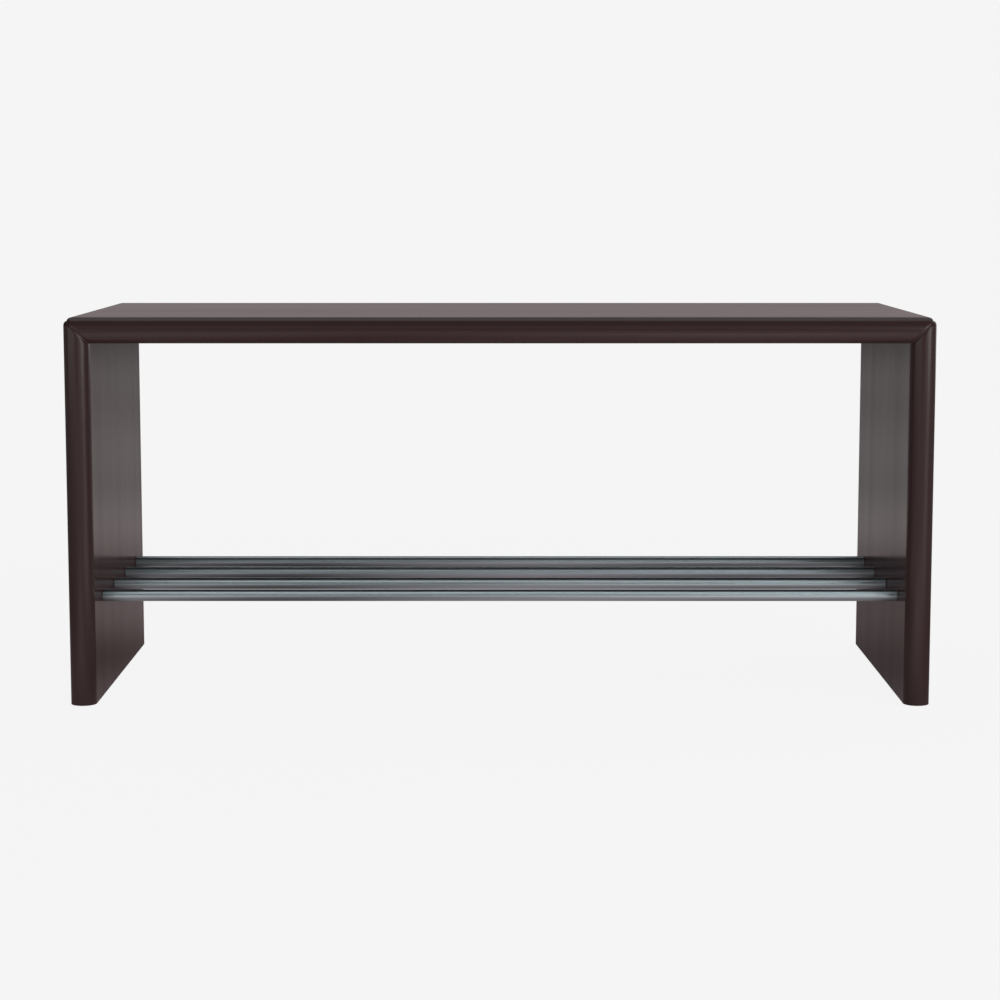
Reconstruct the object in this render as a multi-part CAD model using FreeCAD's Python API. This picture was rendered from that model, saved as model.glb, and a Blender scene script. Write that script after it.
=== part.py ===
import FreeCAD, Part
import math
import os

# Shoe bench, in millimetres. Three boards with a half-round front edge are mitred into an arch:
# a seat and two sides. Four steel tubes run between the sides to carry shoes.
# The origin is on the floor, under the middle of the bench. Front is -Y, up is +Z, right is +X.

# Driving dimensions
WIDTH = 1000.0
DEPTH = 400.0
ARCH_HEIGHT = 450.0
BOARD = 30.0
CORNER_RADIUS = 10.0
BACK_EASE = 1.5

ROD_DIAMETER = 14.0
ROD_WALL = 1.5
ROD_EASE = 0.3
ROD_COUNT = 4
ROD_PITCH = 90.0
FIRST_ROD_FROM_FRONT = 70.0
ROD_ABOVE_ARCH_FOOT = 119.0

SPIGOT_IN_BOARD = 20.0
SPIGOT_IN_ROD = 22.0
SPIGOT_CHAMFER = 0.8

TONGUE_THICKNESS = 5.0
TONGUE_WIDTH = 24.0
TONGUE_FROM_FACE = 18.0
TONGUE_FROM_FRONT = 36.0
TONGUE_FROM_BACK = 24.0

GLIDE_DIAMETER = 18.0
GLIDE_THICKNESS = 5.0
GLIDE_STAND = 2.0
GLIDE_CHAMFER = 0.8
GLIDE_WELL_DIAMETER = 8.0
GLIDE_WELL_DEPTH = 2.2
GLIDE_FROM_END = 45.0

PIN_DIAMETER = 2.5
PIN_HEAD_DIAMETER = 7.0
PIN_HEAD_THICKNESS = 1.0
PIN_IN_BOARD = 16.0
PIN_POINT = 2.0

GLUE_GAP = 0.1
MITRE_ANGLE = 45.0
RIGHT_ANGLE = 90.0

# Worked out from the driving dimensions
FRONT = -DEPTH / 2
BACK = DEPTH / 2
OUTER_X = WIDTH / 2
INNER_X = OUTER_X - BOARD
ARCH_FOOT = GLIDE_STAND
TOP = ARCH_FOOT + ARCH_HEIGHT
NOSE_RADIUS = BOARD / 2
ROD_BORE = ROD_DIAMETER - 2 * ROD_WALL
ROD_Z = ARCH_FOOT + ROD_ABOVE_ARCH_FOOT
ROD_YS = [FRONT + FIRST_ROD_FROM_FRONT + i * ROD_PITCH for i in range(ROD_COUNT)]
GLIDE_YS = {"front": FRONT + GLIDE_FROM_END, "back": BACK - GLIDE_FROM_END}
PIN_TIP_Z = GLIDE_THICKNESS + PIN_IN_BOARD
SIDES = ["left", "right"]

X_AXIS = FreeCAD.Vector(1, 0, 0)
Y_AXIS = FreeCAD.Vector(0, 1, 0)
Z_AXIS = FreeCAD.Vector(0, 0, 1)
ORIGIN = FreeCAD.Vector(0, 0, 0)


def board_section():
    """Face across a board: x is the depth below the show face, y runs from front to back."""
    nose_start = FRONT + NOSE_RADIUS
    ease_start = BACK - BACK_EASE
    arc_inset = BACK_EASE * (1 - math.sqrt(0.5))
    arc_y = BACK - arc_inset

    def at(x, y):
        return FreeCAD.Vector(x, y, 0)

    edges = [
        Part.Arc(at(0, nose_start), at(NOSE_RADIUS, FRONT), at(BOARD, nose_start)),
        Part.LineSegment(at(BOARD, nose_start), at(BOARD, ease_start)),
        Part.Arc(at(BOARD, ease_start), at(BOARD - arc_inset, arc_y), at(BOARD - BACK_EASE, BACK)),
        Part.LineSegment(at(BOARD - BACK_EASE, BACK), at(BACK_EASE, BACK)),
        Part.Arc(at(BACK_EASE, BACK), at(arc_inset, arc_y), at(0, ease_start)),
        Part.LineSegment(at(0, ease_start), at(0, nose_start)),
    ]
    return Part.Face(Part.Wire([edge.toShape() for edge in edges]))


def mitred_board(length):
    """Board standing on z = 0 with its show face at x = 0 and a mitre at its top end.

    The mitre plane goes through the axis of the rounded corner, so below that axis the board is
    straight, and its outermost strip turns about the axis for an eighth of a circle.
    """
    section = board_section()
    bend_z = length - CORNER_RADIUS
    straight = section.extrude(Z_AXIS * bend_z)
    waste_corners = [
        FreeCAD.Vector(CORNER_RADIUS, FRONT, bend_z),
        FreeCAD.Vector(BOARD, FRONT, bend_z),
        FreeCAD.Vector(BOARD, FRONT, length - BOARD),
    ]
    waste = Part.Face(Part.makePolygon(waste_corners + waste_corners[:1])).extrude(Y_AXIS * DEPTH)
    strip = section.common(Part.makePlane(CORNER_RADIUS, DEPTH, FreeCAD.Vector(0, FRONT, 0)))
    strip.translate(Z_AXIS * bend_z)
    corner = strip.Faces[0].revolve(FreeCAD.Vector(CORNER_RADIUS, 0, bend_z), Y_AXIS, MITRE_ANGLE)
    return straight.cut(waste).fuse(corner).removeSplitter()


def mirrored(shape):
    """The same shape on the other side of the bench's middle plane."""
    return shape.mirror(ORIGIN, X_AXIS)


def on_side(left_shape, side):
    """A shape made for the left side, or its mirror image for the right side."""
    return left_shape if side == "left" else mirrored(left_shape)


def round_edges(shape):
    """The circular edges of a turned piece."""
    return [edge for edge in shape.Edges if isinstance(edge.Curve, Part.Circle)]


def rod_cylinder(diameter, low_x, high_x, y):
    """Cylinder along X on the line of a rod."""
    return Part.makeCylinder(diameter / 2, high_x - low_x, FreeCAD.Vector(low_x, y, ROD_Z), X_AXIS)


def tongue_block(gap):
    """Tongue for the left mitre, square to the mitre plane, or its slot when a gap is given."""
    thickness = TONGUE_THICKNESS + 2 * gap
    width = TONGUE_WIDTH + 2 * gap
    length = DEPTH - TONGUE_FROM_FRONT - TONGUE_FROM_BACK + 2 * gap
    block = Part.makeBox(thickness, length, width, FreeCAD.Vector(-thickness / 2, 0, -width / 2))
    block.rotate(ORIGIN, Y_AXIS, MITRE_ANGLE)
    start_y = FRONT + TONGUE_FROM_FRONT - gap
    block.translate(FreeCAD.Vector(-OUTER_X + TONGUE_FROM_FACE, start_y, TOP - TONGUE_FROM_FACE))
    return block


def glide_cylinder(diameter, low_z, high_z, y):
    """Upright cylinder on the centre line of a left glide."""
    base = FreeCAD.Vector(-OUTER_X + BOARD / 2, y, low_z)
    return Part.makeCylinder(diameter / 2, high_z - low_z, base)


def seat_panel():
    """Seat board, mitred at both ends, with a slot in each mitre for the tongue."""
    half = mitred_board(OUTER_X)
    half.rotate(ORIGIN, Y_AXIS, RIGHT_ANGLE)
    half.translate(Z_AXIS * TOP)
    slot = tongue_block(GLUE_GAP)
    return half.fuse(mirrored(half)).removeSplitter().cut(slot).cut(mirrored(slot))


def left_side_panel():
    """Side board with its tongue slot, blind rod holes and seats for the glides and their pins."""
    board = mitred_board(ARCH_HEIGHT)
    board.translate(FreeCAD.Vector(-OUTER_X, 0, ARCH_FOOT))
    cuts = [tongue_block(GLUE_GAP)]
    for y in ROD_YS:
        cuts.append(rod_cylinder(ROD_BORE, -INNER_X - SPIGOT_IN_BOARD, -INNER_X, y))
    for y in GLIDE_YS.values():
        cuts.append(glide_cylinder(GLIDE_DIAMETER + 2 * GLUE_GAP, ARCH_FOOT, GLIDE_THICKNESS, y))
        cuts.append(glide_cylinder(PIN_DIAMETER + 2 * GLUE_GAP, GLIDE_THICKNESS, PIN_TIP_Z, y))
    return board.cut(cuts)


def shoe_rod(y):
    """Steel tube with eased ends, butted against the inner faces of both sides."""
    tube = rod_cylinder(ROD_DIAMETER, -INNER_X, INNER_X, y)
    eased = tube.makeChamfer(ROD_EASE, round_edges(tube))
    return eased.cut(rod_cylinder(ROD_BORE, -INNER_X, INNER_X, y))


def left_rod_spigot(y):
    """Turned spigot, half in the side board and half in the rod."""
    outer_end = -INNER_X - SPIGOT_IN_BOARD
    inner_end = -INNER_X + SPIGOT_IN_ROD
    spigot = rod_cylinder(ROD_BORE - 2 * GLUE_GAP, outer_end, inner_end, y)
    return spigot.makeChamfer(SPIGOT_CHAMFER, round_edges(spigot))


def left_glide(y):
    """Round glide with a chamfered tread, a well for the pin's head and a hole for the pin."""
    disc = glide_cylinder(GLIDE_DIAMETER, 0, GLIDE_THICKNESS, y)
    tread_rims = [edge for edge in round_edges(disc) if edge.BoundBox.ZMax < GLIDE_THICKNESS / 2]
    disc = disc.makeChamfer(GLIDE_CHAMFER, tread_rims)
    well = glide_cylinder(GLIDE_WELL_DIAMETER, 0, GLIDE_WELL_DEPTH, y)
    hole = glide_cylinder(PIN_DIAMETER + 2 * GLUE_GAP, GLIDE_WELL_DEPTH, GLIDE_THICKNESS, y)
    return disc.cut([well, hole])


def left_glide_pin(y):
    """Nail with a flat head up in the well of its glide and a pointed tip in the board."""
    head = glide_cylinder(PIN_HEAD_DIAMETER, GLIDE_WELL_DEPTH - PIN_HEAD_THICKNESS, GLIDE_WELL_DEPTH, y)
    point_z = PIN_TIP_Z - PIN_POINT
    shank = glide_cylinder(PIN_DIAMETER, GLIDE_WELL_DEPTH, point_z, y)
    point_base = FreeCAD.Vector(-OUTER_X + BOARD / 2, y, point_z)
    point = Part.makeCone(PIN_DIAMETER / 2, 0, PIN_POINT, point_base)
    return head.fuse([shank, point]).removeSplitter()


def build():
    """Every piece of the bench, by name."""
    pieces = {"seat_panel": seat_panel()}
    for side in SIDES:
        pieces[f"{side}_side_panel"] = on_side(left_side_panel(), side)
        pieces[f"{side}_mitre_tongue"] = on_side(tongue_block(0), side)
        for number, y in enumerate(ROD_YS, start=1):
            pieces[f"rod_spigot_{side}_{number}"] = on_side(left_rod_spigot(y), side)
        for end, y in GLIDE_YS.items():
            pieces[f"glide_{end}_{side}"] = on_side(left_glide(y), side)
            pieces[f"glide_pin_{end}_{side}"] = on_side(left_glide_pin(y), side)
    for number, y in enumerate(ROD_YS, start=1):
        pieces[f"shoe_rod_{number}"] = shoe_rod(y)
    return pieces


os.makedirs("parts", exist_ok=True)
for name, shape in build().items():
    solid = shape.Solids[0]
    solid.exportStep(os.path.join("parts", name + ".step"))
    print(name, len(shape.Solids), "solid", solid.isValid(), round(solid.Volume), "mm3")
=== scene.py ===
import math

import bmesh
import bpy
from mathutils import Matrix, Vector


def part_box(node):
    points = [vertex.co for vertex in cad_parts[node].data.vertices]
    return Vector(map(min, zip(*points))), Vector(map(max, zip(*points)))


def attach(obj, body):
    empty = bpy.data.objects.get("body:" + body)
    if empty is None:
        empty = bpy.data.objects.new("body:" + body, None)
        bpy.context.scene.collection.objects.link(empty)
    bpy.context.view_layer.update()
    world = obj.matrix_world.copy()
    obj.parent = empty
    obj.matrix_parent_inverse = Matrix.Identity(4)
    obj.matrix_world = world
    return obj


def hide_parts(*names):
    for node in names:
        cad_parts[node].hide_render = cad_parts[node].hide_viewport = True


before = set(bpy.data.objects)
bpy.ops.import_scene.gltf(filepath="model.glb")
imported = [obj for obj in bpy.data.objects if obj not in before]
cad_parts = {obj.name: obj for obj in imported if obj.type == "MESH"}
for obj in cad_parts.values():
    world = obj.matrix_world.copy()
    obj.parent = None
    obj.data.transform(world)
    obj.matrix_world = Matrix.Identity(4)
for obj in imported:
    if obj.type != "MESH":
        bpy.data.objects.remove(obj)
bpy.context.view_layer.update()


# Boards of the arch
# The seat and the two sides are 30 mm fibreboard with a full half-round milled along the front edge.
# They are mitred at the top corners, glued on hidden tongues, and sprayed with dark brown satin lacquer.
side_low, side_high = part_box("left_side_panel")
board_thickness = side_high.x - side_low.x
board_depth = side_high.y - side_low.y
seat_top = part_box("seat_panel")[1].z
arch_foot = side_low.z
outer_x = side_low.x
nose_radius = board_thickness / 2
nose_steps = 24
back_ease = 0.0015
back_ease_steps = 5
flat_margin = 0.0015
corner_radius = 0.010
mitre_softness = 0.0012
inner_corner_softness = 0.0003
inner_share = 0.2
corner_steps = 20
straight_rings = 2
groove_depth = 0.0014
groove_nose_depth = 0.0008
groove_reach = 0.005
foot_ease = 0.0004
foot_ease_steps = 3
mitre_angle = math.radians(45)
smooth_angle = math.radians(35)
weld = 1e-6
tiny = 1e-5


def take(piece):
    """Makes a piece the only one selected, and the one that the tools act on."""
    bpy.ops.object.select_all(action="DESELECT")
    piece.select_set(True)
    bpy.context.view_layer.objects.active = piece


def open_piece(piece):
    """Opens a piece for editing with nothing in it selected."""
    take(piece)
    bpy.ops.object.mode_set(mode="EDIT")
    bpy.ops.mesh.select_mode(type="VERT")
    bpy.ops.mesh.select_all(action="DESELECT")


def close_piece():
    """Ends the editing of the piece that is open."""
    bpy.ops.object.mode_set(mode="OBJECT")


def pick(piece, kind, wanted):
    """Selects the corners, edges or faces of an opened piece that pass a test, and nothing else."""
    bpy.ops.mesh.select_mode(type={"verts": "VERT", "edges": "EDGE", "faces": "FACE"}[kind])
    bpy.ops.mesh.select_all(action="DESELECT")
    mesh = bmesh.from_edit_mesh(piece.data)
    for part in getattr(mesh, kind):
        if wanted(part):
            part.select_set(True)
    mesh.select_flush_mode()
    bmesh.update_edit_mesh(piece.data)


def score(co, normal):
    """Cuts an edge line all round an opened piece where a plane crosses it."""
    bpy.ops.mesh.select_all(action="SELECT")
    bpy.ops.mesh.bisect(plane_co=co, plane_no=normal)


def finish_surface(piece):
    """Outward faces, soft shading on the rounds and crisp edges elsewhere."""
    open_piece(piece)
    bpy.ops.mesh.select_all(action="SELECT")
    bpy.ops.mesh.remove_doubles(threshold=weld)
    bpy.ops.mesh.normals_make_consistent(inside=False)
    close_piece()
    bpy.ops.object.shade_smooth_by_angle(angle=smooth_angle)


def inwardness(depth):
    """0 over most of a board's thickness, rising to 1 at its inner face."""
    start = (1 - inner_share) * board_thickness
    return min(max((depth - start) / (inner_share * board_thickness), 0.0), 1.0)


def bend_radius(depth):
    """The rounding of the corner at a depth below the show face: most outside, a lacquer fillet inside."""
    outer = max(corner_radius - depth, 0.0)
    soft = mitre_softness + (inner_corner_softness - mitre_softness) * inwardness(depth)
    return math.hypot(outer, soft)


def groove_inset(depth, from_mitre, away):
    """How far the eased arris at the mitre lies below the board's own surface, least at the nose."""
    slope = max(1 - from_mitre / groove_reach, 0.0)
    at_nose = max(-away.y, 0.0)
    deepest = groove_depth + (groove_nose_depth - groove_depth) * at_nose
    return deepest * slope ** 2 * (1 - inwardness(depth))


def outward(depth, y):
    """Direction out of a board's section, away from the line along the middle of its thickness."""
    front_end = nose_radius - board_depth / 2
    spine = min(max(y, front_end), -front_end)
    return Vector((depth - nose_radius, y - spine)).normalized()


def mitred_board(name, length):
    """A board standing on the floor with its show face at x = 0 and a mitre at its top end."""
    bpy.ops.object.select_all(action="DESELECT")
    bpy.ops.mesh.primitive_plane_add(size=1, location=(board_thickness / 2, 0, 0))
    board = bpy.context.active_object
    board.name = name
    board.data.name = name
    board.scale = (board_thickness, board_depth, 1)
    bpy.ops.object.transform_apply(location=True, rotation=True, scale=True)

    open_piece(board)
    pick(board, "verts", lambda v: v.co.y < 0)
    bpy.ops.mesh.bevel(offset=nose_radius, segments=nose_steps, affect="VERTICES", clamp_overlap=False)
    pick(board, "verts", lambda v: v.co.y > board_depth / 2 - weld)
    bpy.ops.mesh.bevel(offset=back_ease, segments=back_ease_steps, affect="VERTICES")
    bpy.ops.mesh.select_all(action="SELECT")
    bpy.ops.mesh.remove_doubles(threshold=weld)

    bpy.ops.mesh.select_mode(type="FACE")
    bpy.ops.mesh.select_all(action="SELECT")
    for _ in range(corner_steps + straight_rings):
        bpy.ops.mesh.extrude_region_move(TRANSFORM_OT_translate={"value": (0, 0, 1)})

    mesh = bmesh.from_edit_mesh(board.data)
    for corner in mesh.verts:
        step = round(corner.co.z) - straight_rings
        if step == -straight_rings:
            continue  # the foot stays where it is
        reach = max(bend_radius(corner.co.x) * mitre_angle, groove_reach)
        from_mitre = reach * (1 - step / corner_steps) if step >= 0 else reach + flat_margin
        away = outward(corner.co.x, corner.co.y)
        inset = groove_inset(corner.co.x, from_mitre, away)
        depth = corner.co.x - away.x * inset
        corner.co.y -= away.y * inset
        bend = bend_radius(depth)
        turn = max(mitre_angle - from_mitre / bend, 0.0)
        straight = max(from_mitre - bend * mitre_angle, 0.0)
        corner.co.x = depth + bend * (1 - math.cos(turn))
        corner.co.z = length - depth - bend * (1 - math.sin(turn)) - straight
    bmesh.update_edit_mesh(board.data)

    score((0, nose_radius + flat_margin - board_depth / 2, 0), (0, 1, 0))
    score((0, board_depth / 2 - back_ease - flat_margin, 0), (0, 1, 0))
    close_piece()
    return board


def ease_foot(board):
    """Takes the sharp arris off the sawn foot of a side."""
    open_piece(board)
    pick(board, "faces", lambda f: f.calc_center_median().z < weld)
    bpy.ops.mesh.dissolve_faces()
    bpy.ops.mesh.region_to_loop()
    bpy.ops.mesh.bevel(offset=foot_ease, segments=foot_ease_steps, affect="EDGES")
    score((0, 0, foot_ease + flat_margin), (0, 0, 1))
    close_piece()


def place(piece, x, y, z):
    """Sets a finished piece in its place, with the place kept in its mesh."""
    take(piece)
    bpy.ops.transform.translate(value=(x, y, z))
    bpy.ops.object.transform_apply(location=True, rotation=True, scale=True)


glue_gap = 0.0001
hole_sides = 48
cut_margin = 0.002
tongue_thickness = 0.005
pin_radius = 0.00125
rod_numbers = range(1, 5)
ends = ("front", "back")


def round_cutter(radius, start, end):
    """A round cutter from one point to another."""
    along = Vector(end) - Vector(start)
    bpy.ops.object.select_all(action="DESELECT")
    bpy.ops.mesh.primitive_cylinder_add(vertices=hole_sides, radius=radius, depth=along.length)
    cutter = bpy.context.active_object
    cutter.location = Vector(start) + along / 2
    cutter.rotation_euler = along.to_track_quat("Z", "Y").to_euler()
    return cutter


def tongue_cutter(side, lean):
    """A cutter for the slot of a mitre's tongue, a glue gap larger than the tongue all round."""
    low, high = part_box(f"{side}_mitre_tongue")
    tongue_width = (high.x - low.x) / math.cos(mitre_angle) - tongue_thickness
    bpy.ops.object.select_all(action="DESELECT")
    bpy.ops.mesh.primitive_cube_add(size=1, location=(low + high) / 2)
    cutter = bpy.context.active_object
    tongue = Vector((tongue_thickness, high.y - low.y, tongue_width))
    cutter.scale = tongue + Vector((2, 2, 2)) * glue_gap
    cutter.rotation_euler.y = lean
    return cutter


def cut_out(board, cutter):
    """Takes a cutter's shape out of a board, and puts the cutter away."""
    take(board)
    hole = board.modifiers.new("hole", "BOOLEAN")
    hole.object = cutter
    hole.solver = "EXACT"
    bpy.ops.object.modifier_apply(modifier=hole.name)
    bpy.data.objects.remove(cutter)


left_board = mitred_board("left_side_board", seat_top - arch_foot)
ease_foot(left_board)
place(left_board, outer_x, 0, arch_foot)
finish_surface(left_board)
for number in rod_numbers:
    low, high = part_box(f"rod_spigot_left_{number}")
    y, z = (low.y + high.y) / 2, (low.z + high.z) / 2
    hole_radius = (high.z - low.z) / 2 + glue_gap
    mouth = side_high.x + cut_margin
    cut_out(left_board, round_cutter(hole_radius, (low.x, y, z), (mouth, y, z)))
for end in ends:
    low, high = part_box(f"glide_{end}_left")
    x, y = (low.x + high.x) / 2, (low.y + high.y) / 2
    pin_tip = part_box(f"glide_pin_{end}_left")[1].z
    well_radius = (high.x - low.x) / 2 + glue_gap
    cut_out(left_board, round_cutter(well_radius, (x, y, low.z), (x, y, high.z)))
    cut_out(left_board, round_cutter(pin_radius + glue_gap, (x, y, arch_foot), (x, y, pin_tip)))
cut_out(left_board, tongue_cutter("left", mitre_angle))
finish_surface(left_board)

take(left_board)
bpy.ops.object.duplicate()
right_board = bpy.context.active_object
right_board.name = "right_side_board"
right_board.data.name = "right_side_board"
right_board.scale.x = -1
bpy.ops.object.transform_apply(location=True, rotation=True, scale=True)
finish_surface(right_board)

seat_board = mitred_board("seat_board", -outer_x)
open_piece(seat_board)
pick(seat_board, "faces", lambda f: f.calc_center_median().z < weld)
bpy.ops.mesh.delete(type="FACE")
close_piece()
seat_board.rotation_euler.y = math.radians(90)
seat_board.location.z = seat_top
bpy.ops.object.transform_apply(location=True, rotation=True, scale=True)
halves = seat_board.modifiers.new("other half", "MIRROR")
halves.use_clip = True
bpy.ops.object.modifier_apply(modifier=halves.name)
finish_surface(seat_board)
cut_out(seat_board, tongue_cutter("left", mitre_angle))
cut_out(seat_board, tongue_cutter("right", -mitre_angle))
finish_surface(seat_board)


def mark_wear_or_rim_highlight(piece, wear_or_rim_highlight):
    """Notes in a piece's mesh which of its corners its finish makes paler: worn arrises on a board, a
    painted highlight on the eased rims of a rod.
    """
    marks = piece.data.attributes.new("wear_or_rim_highlight", "FLOAT", "POINT")
    for corner, mark in zip(piece.data.vertices, marks.data):
        mark.value = float(wear_or_rim_highlight(corner.co))


def on_eased_arris(co):
    """Whether a place is on the rounding of a board's foot, or of its back edge clear of the mitre."""
    from_back = board_depth / 2 - co.y
    from_foot = co.z - arch_foot
    from_mitre = abs((seat_top - co.z) - (abs(outer_x) - abs(co.x)))
    clear_of_mitre = from_mitre > groove_reach + flat_margin - tiny
    on_back = clear_of_mitre and tiny < from_back < back_ease - tiny
    return on_back or tiny < from_foot < foot_ease - tiny


def new_material(name):
    """An empty material with a shader, and the tools to add and join its nodes."""
    material = bpy.data.materials.new(name)
    material.use_nodes = True
    nodes = material.node_tree.nodes
    shader = nodes["Principled BSDF"]

    def add(kind, **settings):
        node = nodes.new(kind)
        for key, value in settings.items():
            if key in node.inputs:
                node.inputs[key].default_value = value
            else:
                setattr(node, key, value)
        return node

    return material, shader, add, material.node_tree.links.new


lacquer_brown = (0.0350, 0.0199, 0.0199, 1)
lacquer_dark = (0.0301, 0.0170, 0.0170, 1)
lacquer_rubbed = (0.075, 0.043, 0.036, 1)
noise_low, noise_high = 0.3, 0.7
streak_scale, streak_detail, streak_roughness = 26.0, 3.0, 0.55
streak_squeeze = 0.06
peel_scale, peel_detail = 420.0, 2.0
peel_strength, peel_height = 0.04, 0.0003
coat_thin, coat_thick = 0.25, 0.29
under_matt, under_gloss = 0.55, 0.45
coat_roughness, coat_ior = 0.17, 1.5


def spread(add, join, source, low, high):
    """A noise's middle range, where nearly all of it lies, spread from one value to another."""
    reach = add("ShaderNodeMapRange")
    reach.inputs["From Min"].default_value = noise_low
    reach.inputs["From Max"].default_value = noise_high
    reach.inputs["To Min"].default_value = low
    reach.inputs["To Max"].default_value = high
    join(source.outputs["Fac"], reach.inputs["Value"])
    return reach.outputs["Result"]


def two_tone(add, join, source, dark, light):
    """A noise turned into shades between two colours."""
    tint = add("ShaderNodeValToRGB")
    tint.color_ramp.elements[0].position = noise_low
    tint.color_ramp.elements[0].color = dark
    tint.color_ramp.elements[1].position = noise_high
    tint.color_ramp.elements[1].color = light
    join(source.outputs["Fac"], tint.inputs["Fac"])
    return tint.outputs["Color"]


def lacquer(name, stretch):
    """Sprayed satin lacquer: faint streaks along the board, fine orange peel, eased edges worn paler."""
    material, shader, add, join = new_material(name)
    place_on = add("ShaderNodeTexCoord")
    along = add("ShaderNodeMapping", Scale=stretch)
    join(place_on.outputs["Object"], along.inputs["Vector"])
    streaks = add("ShaderNodeTexNoise", Scale=streak_scale, Detail=streak_detail)
    streaks.inputs["Roughness"].default_value = streak_roughness
    join(along.outputs["Vector"], streaks.inputs["Vector"])
    peel = add("ShaderNodeTexNoise", Scale=peel_scale, Detail=peel_detail)
    join(place_on.outputs["Object"], peel.inputs["Vector"])
    wear_or_rim_mask = add("ShaderNodeAttribute", attribute_name="wear_or_rim_highlight")
    rub_patches = add("ShaderNodeMath", operation="MULTIPLY")
    join(wear_or_rim_mask.outputs["Fac"], rub_patches.inputs[0])
    join(peel.outputs["Fac"], rub_patches.inputs[1])
    coat = add("ShaderNodeMixRGB", Color2=lacquer_rubbed)
    join(rub_patches.outputs["Value"], coat.inputs["Fac"])
    join(two_tone(add, join, streaks, lacquer_dark, lacquer_brown), coat.inputs["Color1"])
    join(coat.outputs["Color"], shader.inputs["Base Color"])
    join(spread(add, join, streaks, coat_thin, coat_thick), shader.inputs["Coat Weight"])
    join(spread(add, join, streaks, under_matt, under_gloss), shader.inputs["Roughness"])
    bump = add("ShaderNodeBump", Strength=peel_strength, Distance=peel_height)
    join(peel.outputs["Fac"], bump.inputs["Height"])
    join(bump.outputs["Normal"], shader.inputs["Normal"])
    join(bump.outputs["Normal"], shader.inputs["Coat Normal"])
    shader.inputs["Specular IOR Level"].default_value = 0.0
    shader.inputs["Coat Roughness"].default_value = coat_roughness
    shader.inputs["Coat IOR"].default_value = coat_ior
    return material


side_lacquer = lacquer("side_lacquer", (1, 1, streak_squeeze))
seat_lacquer = lacquer("seat_lacquer", (streak_squeeze, 1, 1))
boards = {
    "left_side_panel": (left_board, side_lacquer),
    "right_side_panel": (right_board, side_lacquer),
    "seat_panel": (seat_board, seat_lacquer),
}
for node, (board, finish) in boards.items():
    mark_wear_or_rim_highlight(board, on_eased_arris)
    board.data.materials.append(finish)
    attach(board, "root")
    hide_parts(node)


# Mitre tongues
# Loose strips of birch plywood, sawn and sanded, one glued square across each mitre.
# They stop short of the front and back edges, so nothing of them shows on the finished bench.
birch_light = (0.53, 0.39, 0.22, 1)
birch_dark = (0.40, 0.27, 0.14, 1)
birch_glue = (0.22, 0.13, 0.07, 1)
ply_pair = 0.002
wave_per_unit = 20.0
ply_waviness = 0.4
glue_line_reach = 0.15
birch_grain_squeeze = 0.05
birch_grain_scale, birch_grain_detail = 700.0, 4.0
birch_grain_strength, birch_grain_height = 0.25, 0.0002
birch_smooth, birch_rough = 0.62, 0.78
birch_sheen = 0.3


def dress(node, finish):
    """Gives a piece of the frame a finish of its own."""
    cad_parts[node].material_slots[0].material = finish


def birch_ply(name, lean):
    """Plies lying across the thin side of a leaning strip, with long grain and darker glue lines."""
    material, shader, add, join = new_material(name)
    place_on = add("ShaderNodeTexCoord")
    upright = add("ShaderNodeMapping", Rotation=(0, lean, 0))
    join(place_on.outputs["Object"], upright.inputs["Vector"])
    along = add("ShaderNodeMapping", Scale=(1, birch_grain_squeeze, 1))
    join(upright.outputs["Vector"], along.inputs["Vector"])
    grain = add("ShaderNodeTexNoise", Scale=birch_grain_scale, Detail=birch_grain_detail)
    join(along.outputs["Vector"], grain.inputs["Vector"])
    ply_scale = 2 * math.pi / (wave_per_unit * ply_pair)
    plies = add("ShaderNodeTexWave", Scale=ply_scale, Distortion=ply_waviness)
    join(upright.outputs["Vector"], plies.inputs["Vector"])
    glue_line = add("ShaderNodeMapRange", interpolation_type="SMOOTHSTEP")
    glue_line.inputs["From Min"].default_value = glue_line_reach
    glue_line.inputs["From Max"].default_value = 0.0
    join(plies.outputs["Fac"], glue_line.inputs["Value"])
    wood = add("ShaderNodeMixRGB", Color2=birch_glue)
    join(glue_line.outputs["Result"], wood.inputs["Fac"])
    join(two_tone(add, join, grain, birch_dark, birch_light), wood.inputs["Color1"])
    join(wood.outputs["Color"], shader.inputs["Base Color"])
    join(spread(add, join, grain, birch_smooth, birch_rough), shader.inputs["Roughness"])
    bump = add("ShaderNodeBump", Strength=birch_grain_strength, Distance=birch_grain_height)
    join(grain.outputs["Fac"], bump.inputs["Height"])
    join(bump.outputs["Normal"], shader.inputs["Normal"])
    shader.inputs["Specular IOR Level"].default_value = birch_sheen
    return material


dress("left_mitre_tongue", birch_ply("left_birch_ply", -mitre_angle))
dress("right_mitre_tongue", birch_ply("right_birch_ply", mitre_angle))


# Rod spigots
# Short turned steel pegs, zinc plated, half in a blind hole of the side and half in the end of a rod.
# They are glued in, and carry the rod's load into the board.
zinc_pale = (0.62, 0.64, 0.66, 1)
zinc_straw = (0.55, 0.54, 0.48, 1)
bloom_scale, bloom_detail = 180.0, 2.0
ring_squeeze = 60
ring_scale, ring_detail = 60.0, 3.0
ring_strength, ring_height = 0.12, 0.00005
zinc_bright, zinc_dull = 0.24, 0.40
sides = ("left", "right")


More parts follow.
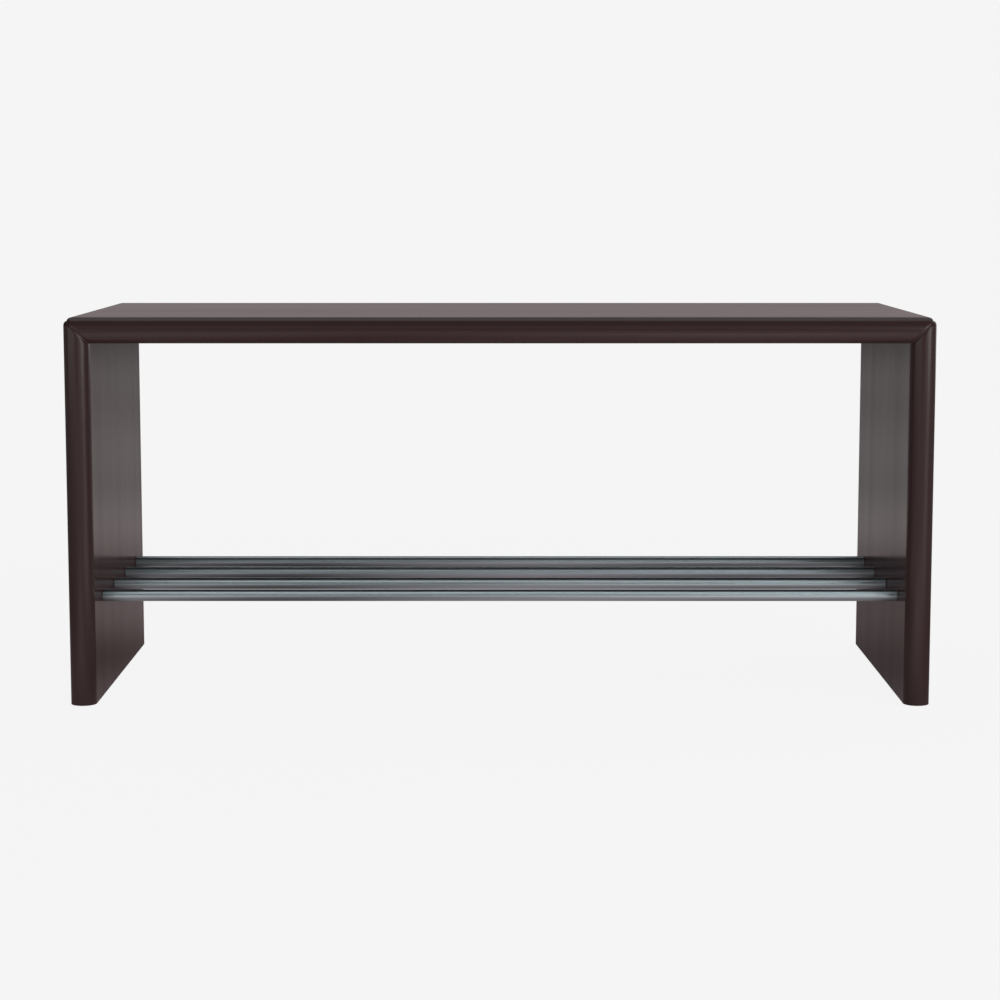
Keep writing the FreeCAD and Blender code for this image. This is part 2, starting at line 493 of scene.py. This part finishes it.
def zinc_plate(name, squeeze):
    """Bright zinc: fine rings left by the turning, and a faint straw bloom in the plating."""
    material, shader, add, join = new_material(name)
    place_on = add("ShaderNodeTexCoord")
    bloom = add("ShaderNodeTexNoise", Scale=bloom_scale, Detail=bloom_detail)
    join(place_on.outputs["Object"], bloom.inputs["Vector"])
    rings_at = add("ShaderNodeMapping", Scale=squeeze)
    join(place_on.outputs["Object"], rings_at.inputs["Vector"])
    rings = add("ShaderNodeTexNoise", Scale=ring_scale, Detail=ring_detail)
    join(rings_at.outputs["Vector"], rings.inputs["Vector"])
    join(two_tone(add, join, bloom, zinc_straw, zinc_pale), shader.inputs["Base Color"])
    join(spread(add, join, rings, zinc_bright, zinc_dull), shader.inputs["Roughness"])
    bump = add("ShaderNodeBump", Strength=ring_strength, Distance=ring_height)
    join(rings.outputs["Fac"], bump.inputs["Height"])
    join(bump.outputs["Normal"], shader.inputs["Normal"])
    shader.inputs["Metallic"].default_value = 1.0
    return material


spigot_zinc = zinc_plate("spigot_zinc", (ring_squeeze, 1, 1))
for side in sides:
    for number in rod_numbers:
        dress(f"rod_spigot_{side}_{number}", spigot_zinc)


# Shoe rods
# Thin-walled steel tube, ground and lightly polished, cut square and butted between the two sides.
# Each end sits over a spigot that is glued into the side.
rod_sides = 64
rod_wall = 0.0015
rod_ease = 0.0003
rod_ease_steps = 2
rod_margin = 0.001


def rod_tube(number):
    """A tube with eased rims, in the place of its rod."""
    low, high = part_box(f"shoe_rod_{number}")
    centre = (low + high) / 2
    radius = (high.z - low.z) / 2
    length = high.x - low.x
    bpy.ops.object.select_all(action="DESELECT")
    bpy.ops.mesh.primitive_cylinder_add(vertices=rod_sides, radius=radius, depth=length)
    rod = bpy.context.active_object
    rod.name = f"rod_tube_{number}"
    rod.data.name = rod.name
    rod.rotation_euler.y = math.radians(90)
    rod.location = centre
    bpy.ops.object.transform_apply(location=True, rotation=True, scale=True)

    open_piece(rod)
    pick(rod, "faces", lambda f: len(f.verts) == rod_sides)
    bpy.ops.mesh.bevel(offset=rod_ease, segments=rod_ease_steps, affect="EDGES")
    pick(rod, "faces", lambda f: len(f.verts) == rod_sides)
    bpy.ops.mesh.inset(thickness=rod_wall - rod_ease)
    bpy.ops.mesh.delete(type="FACE")
    pick(rod, "edges", lambda e: e.is_boundary)
    bpy.ops.mesh.bridge_edge_loops()
    for end in (low.x + rod_ease + rod_margin, high.x - rod_ease - rod_margin):
        score((end, 0, 0), (1, 0, 0))
    close_piece()
    finish_surface(rod)
    return rod


steel_light = (0.315, 0.371, 0.395, 1)
steel_dark = (0.268, 0.322, 0.345, 1)
# a paler steel that paints a highlight on the rods' eased rims
steel_rim_highlight = (0.42, 0.45, 0.46, 1)
line_stretch, line_squeeze = 2.0, 300.0
line_scale, line_detail, line_roughness = 3.0, 6.0, 0.6
line_strength, line_depth = 0.03, 0.0001
steel_bright, steel_dull = 0.30, 0.38


def satin_steel():
    """Ground steel: fine lines along the rod in its colour, gloss and relief, and a painted highlight on
    its eased rims.
    """
    material, shader, add, join = new_material("satin_steel")
    place_on = add("ShaderNodeTexCoord")
    along = add("ShaderNodeMapping", Scale=(line_stretch, line_squeeze, line_squeeze))
    join(place_on.outputs["Object"], along.inputs["Vector"])
    lines = add("ShaderNodeTexNoise", Scale=line_scale, Detail=line_detail, Roughness=line_roughness)
    join(along.outputs["Vector"], lines.inputs["Vector"])
    # the eased rims get the paler steel: a painted highlight
    wear_or_rim_mask = add("ShaderNodeAttribute", attribute_name="wear_or_rim_highlight")
    skin = add("ShaderNodeMixRGB", Color2=steel_rim_highlight)
    join(wear_or_rim_mask.outputs["Fac"], skin.inputs["Fac"])
    join(two_tone(add, join, lines, steel_dark, steel_light), skin.inputs["Color1"])
    join(skin.outputs["Color"], shader.inputs["Base Color"])
    join(spread(add, join, lines, steel_bright, steel_dull), shader.inputs["Roughness"])
    bump = add("ShaderNodeBump", Strength=line_strength, Distance=line_depth)
    join(lines.outputs["Fac"], bump.inputs["Height"])
    join(bump.outputs["Normal"], shader.inputs["Normal"])
    shader.inputs["Metallic"].default_value = 1.0
    return material


def at_rim_highlight(co):
    """Whether a place is on the eased end of a rod, where a paler steel colour paints a highlight."""
    return abs(co.x) > -side_high.x - rod_ease - tiny


rod_steel = satin_steel()
rods = [rod_tube(number) for number in rod_numbers]
for number, rod in enumerate(rods, start=1):
    mark_wear_or_rim_highlight(rod, at_rim_highlight)
    rod.data.materials.append(rod_steel)
    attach(rod, "root")
    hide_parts(f"shoe_rod_{number}")


# Glides
# Round discs of moulded brown nylon, let into the feet of the sides so that 2 mm of each stands proud.
# Each has a well in its tread, so that the head of its pin stays clear of the floor.
nylon_brown = (0.024, 0.014, 0.012, 1)
nylon_dark = (0.016, 0.009, 0.008, 1)
nylon_scuffed = (0.080, 0.062, 0.055, 1)
tread_height = 0.0006
mottle_scale, mottle_detail = 90.0, 3.0
nylon_grain_scale, nylon_grain_detail = 2600.0, 2.0
nylon_grain_strength, nylon_grain_depth = 0.2, 0.00005
nylon_smooth, nylon_rough = 0.50, 0.66
nylon_sheen = 0.4


def moulded_nylon():
    """A fine matt grain, and scuffs where the tread rubs the floor."""
    material, shader, add, join = new_material("moulded_nylon")
    place_on = add("ShaderNodeTexCoord")
    mottle = add("ShaderNodeTexNoise", Scale=mottle_scale, Detail=mottle_detail)
    join(place_on.outputs["Object"], mottle.inputs["Vector"])
    grain = add("ShaderNodeTexNoise", Scale=nylon_grain_scale, Detail=nylon_grain_detail)
    join(place_on.outputs["Object"], grain.inputs["Vector"])
    axes = add("ShaderNodeSeparateXYZ")
    join(place_on.outputs["Object"], axes.inputs["Vector"])
    tread = add("ShaderNodeMapRange")
    tread.inputs["From Min"].default_value = tread_height
    tread.inputs["From Max"].default_value = 0.0
    join(axes.outputs["Z"], tread.inputs["Value"])
    scuffs = add("ShaderNodeMath", operation="MULTIPLY")
    join(tread.outputs["Result"], scuffs.inputs[0])
    join(mottle.outputs["Fac"], scuffs.inputs[1])
    skin = add("ShaderNodeMixRGB", Color2=nylon_scuffed)
    join(scuffs.outputs["Value"], skin.inputs["Fac"])
    join(two_tone(add, join, mottle, nylon_dark, nylon_brown), skin.inputs["Color1"])
    join(skin.outputs["Color"], shader.inputs["Base Color"])
    join(spread(add, join, mottle, nylon_smooth, nylon_rough), shader.inputs["Roughness"])
    bump = add("ShaderNodeBump", Strength=nylon_grain_strength, Distance=nylon_grain_depth)
    join(grain.outputs["Fac"], bump.inputs["Height"])
    join(bump.outputs["Normal"], shader.inputs["Normal"])
    shader.inputs["Specular IOR Level"].default_value = nylon_sheen
    return material


glide_nylon = moulded_nylon()
for side in sides:
    for end in ends:
        dress(f"glide_{end}_{side}", glide_nylon)


# Glide pins
# Zinc-plated nails with flat heads, driven up through the glides into the feet of the sides.
# Only their heads show, deep in the wells of the glides.
pin_zinc = zinc_plate("pin_zinc", (1, 1, ring_squeeze))
for side in sides:
    for end in ends:
        dress(f"glide_pin_{end}_{side}", pin_zinc)


# Studio floor and light
# A pale floor that runs into a pale backdrop, and fourteen soft boxes standing round the bench.
# The camera sees the pale floor, which glows evenly, a little less near the bench, where the lamps light
# it and cast the bench's shadow.
# The bench mirrors a second, darker floor that also glows: soft pools of light painted into its glow, a
# painted shadow of the bench under and around it, and a warmer tint near it.
pale = 0.913
shade_reach = 1.8
floor_shade = 0.05
floor_lit = 0.03
studio_dim = 0.004
floor_near = (1, 0.81, 0.82, 1)
floor_far = (1, 0.955, 0.96, 1)
warm_reach = 2.0
warm_y = 0.2
floor_side = 200
grey_floor_z = -0.0005
painted_shadow_reach_x, painted_shadow_reach_y = 2.2, 1.6
open_floor = 0.37
box_distance = 6.0
warm_white = (1.0, 0.86, 0.88)
soft_white = (1.0, 0.95, 0.95)


def floor_plane(name, z):
    """A wide floor that isn't part of the bench."""
    bpy.ops.object.select_all(action="DESELECT")
    bpy.ops.mesh.primitive_plane_add(size=floor_side, location=(0, 0, z))
    plane = bpy.context.active_object
    plane.name = name
    bpy.ops.object.transform_apply(location=True, rotation=True, scale=True)
    return plane


def pool(add, join, place_on, x, y, reach_x, reach_y, strength, around=0.0):
    """A soft round patch of brightness on a floor, and the brightness around it."""
    spot = add("ShaderNodeMapping", vector_type="TEXTURE")
    spot.inputs["Location"].default_value = (x, y, 0)
    spot.inputs["Scale"].default_value = (reach_x, reach_y, 1)
    join(place_on.outputs["Object"], spot.inputs["Vector"])
    glow = add("ShaderNodeTexGradient", gradient_type="SPHERICAL")
    join(spot.outputs["Vector"], glow.inputs["Vector"])
    soft = add("ShaderNodeMapRange", interpolation_type="SMOOTHSTEP")
    soft.inputs["To Min"].default_value = around
    soft.inputs["To Max"].default_value = strength
    join(glow.outputs["Fac"], soft.inputs["Value"])
    return soft.outputs["Result"]


seen_floor = floor_plane("seen_floor", 0.0)
seen_floor.visible_diffuse = False
seen_floor.visible_glossy = False
seen_floor.visible_transmission = False
seen_floor.visible_shadow = False
paper, paper_shader, add, join = new_material("pale_floor")
place_on = add("ShaderNodeTexCoord")
near = pool(add, join, place_on, 0, 0, shade_reach, shade_reach, 1.0)
shade = add("ShaderNodeMath", operation="MULTIPLY")
shade.inputs[1].default_value = floor_shade
join(near, shade.inputs[0])
join(shade.outputs["Value"], paper_shader.inputs["Base Color"])
shine = add("ShaderNodeMath", operation="MULTIPLY_ADD")
shine.inputs[1].default_value = -floor_lit
shine.inputs[2].default_value = pale
join(near, shine.inputs[0])
join(shine.outputs["Value"], paper_shader.inputs["Emission Strength"])
paper_shader.inputs["Emission Color"].default_value = (1, 1, 1, 1)
paper_shader.inputs["Roughness"].default_value = 1.0
paper_shader.inputs["Specular IOR Level"].default_value = 0.0
seen_floor.data.materials.append(paper)

grey_floor = floor_plane("grey_floor", grey_floor_z)
grey_floor.visible_camera = False
grey, grey_shader, add, join = new_material("grey_floor")
place_on = add("ShaderNodeTexCoord")
# a painted shadow of the bench: the floor's glow is nothing under the bench and rises to open_floor away
# from it
total = pool(add, join, place_on, 0, 0, painted_shadow_reach_x, painted_shadow_reach_y, strength=0.0, around=open_floor)
# pools of light painted into the floor's glow; those near the bench lighten its painted shadow in places
# x, y, reach along x, reach along y, strength
painted_floor_pools = [
    (-0.45, 0.0, 0.6, 0.7, 0.06),
    (0.45, 0.0, 0.6, 0.7, 0.28),
    (0.0, -0.1, 0.35, 0.5, 0.58),
    (-0.8, 0.0, 0.5, 0.8, 0.42),
    (-0.55, -0.4, 0.4, 0.7, 0.55),
    (-0.55, -1.0, 0.5, 0.9, 1.05),
    (0.35, -0.85, 0.6, 0.9, 1.70),
    (1.2, -1.2, 0.9, 0.9, 1.80),
    (2.1, -1.95, 1.1, 1.1, 2.40),
    (0.0, -1.0, 1.6, 0.9, 0.45),
    (0.0, -3.2, 2.5, 2.2, 0.95),
    (-0.4, 0.5, 0.45, 0.45, 0.65),
    (0.4, 0.5, 0.45, 0.45, 0.37),
    (0.0, 1.3, 1.8, 0.9, 0.65),
    (0.0, 2.6, 1.4, 1.8, 0.54),
    (0.0, 5.0, 2.5, 2.5, 0.46),
]
for x, y, reach_x, reach_y, strength in painted_floor_pools:
    both = add("ShaderNodeMath", operation="ADD")
    join(total, both.inputs[0])
    join(pool(add, join, place_on, x, y, reach_x, reach_y, strength), both.inputs[1])
    total = both.outputs["Value"]
join(total, grey_shader.inputs["Emission Strength"])
# the glow is tinted warmer near the bench: painted warm light
warmth = add("ShaderNodeMixRGB", Color1=floor_far, Color2=floor_near)
join(pool(add, join, place_on, 0, warm_y, warm_reach, warm_reach, 1.0), warmth.inputs["Fac"])
join(warmth.outputs["Color"], grey_shader.inputs["Emission Color"])
grey_shader.inputs["Base Color"].default_value = (0, 0, 0, 1)
grey_shader.inputs["Roughness"].default_value = 1.0
grey_shader.inputs["Specular IOR Level"].default_value = 0.0
grey_floor.data.materials.append(grey)

world = bpy.data.worlds.new("studio")
bpy.context.scene.world = world
world.use_nodes = True
sky = world.node_tree.nodes
ray = sky.new("ShaderNodeLightPath")
seen = sky.new("ShaderNodeMapRange")
seen.inputs["To Min"].default_value = studio_dim
seen.inputs["To Max"].default_value = pale
world.node_tree.links.new(ray.outputs["Is Camera Ray"], seen.inputs["Value"])
sky["Background"].inputs["Color"].default_value = (1, 1, 1, 1)
world.node_tree.links.new(seen.outputs["Result"], sky["Background"].inputs["Strength"])


def soft_box(name, azimuth, elevation, width, height, radiance):
    """A soft box that stands far off, given by the angles that it is seen at from the bench."""
    turn, rise = math.radians(azimuth), math.radians(elevation)
    level = math.cos(rise)
    towards = Vector((level * math.sin(turn), level * math.cos(turn), math.sin(rise)))
    bpy.ops.object.select_all(action="DESELECT")
    bpy.ops.object.light_add(type="AREA", location=towards * box_distance)
    lamp = bpy.context.active_object
    lamp.name = name
    lamp.data.shape = "RECTANGLE"
    lamp.data.size = 2 * box_distance * math.tan(math.radians(width / 2))
    lamp.data.size_y = 2 * box_distance * math.tan(math.radians(height / 2))
    lamp.data.energy = radiance * math.pi * lamp.data.size * lamp.data.size_y
    lamp.rotation_euler = (-towards).to_track_quat("-Z", "Y").to_euler()
    lamp.visible_camera = False
    return lamp


def light_only(lamp, pieces):
    """Keeps a soft box off everything but some pieces."""
    lit = bpy.data.collections.new(lamp.name + "_lights")
    for piece in pieces:
        lit.objects.link(piece)
    lamp.light_linking.receiver_collection = lit


side_boards = [left_board, right_board]
arch_boards = [*side_boards, seat_board]
# each box: azimuth from the back by way of the right, elevation, width and height in degrees, radiance
back_low = soft_box("back_low", 0, 6, 60, 8, 1.20)
back_low.data.color = warm_white
back_box = soft_box("back_box", 0, 17, 60, 14, 0.85)
back_box.data.color = warm_white
right_key = soft_box("right_key", 57, 35, 45, 20, 0.95)
right_key.data.color = soft_white
soft_box("right_low", 112, 8, 20, 16, 1.4)
# the sides get a narrower light from the right, with a low glint that shows along their noses
light_only(soft_box("right_front", 129, 18, 48, 36, 2.8), [seat_board, seen_floor, *rods])
light_only(soft_box("right_sides", 129, 14, 24, 24, 5.0), side_boards)
light_only(soft_box("nose_glint", 129, 3, 26, 6, 6.5), side_boards)
soft_box("front_right", 152, 14, 24, 28, 2.8)
soft_box("front_left", 225, 8, 60, 16, 2.3)
soft_box("front_wide", 180, 32, 90, 20, 0.45)
soft_box("overhead", 0, 74, 60, 30, 1.75)
light_only(soft_box("back_rim", 0, 48, 70, 20, 1.05), arch_boards)
light_only(soft_box("back_right", 36, 12, 40, 24, 2.9), arch_boards)
light_only(soft_box("front_high", 180, 57, 90, 25, 1.55), rods)


# Camera
# Straight in front of the bench, a little above the seat, looking slightly down.
photo_side = 1000
focal_pixels = 2462.2
sensor = 36.0
camera_away = 2.8078
camera_height = 0.587
camera_tilt = 7.024
bpy.ops.object.camera_add(location=(0, side_low.y - camera_away, arch_foot + camera_height))
camera = bpy.context.active_object
camera.rotation_euler = (math.radians(90 - camera_tilt), 0, 0)
camera.data.sensor_width = sensor
camera.data.lens = sensor * focal_pixels / photo_side
bpy.context.scene.camera = camera
bpy.context.scene.view_settings.view_transform = "Standard"
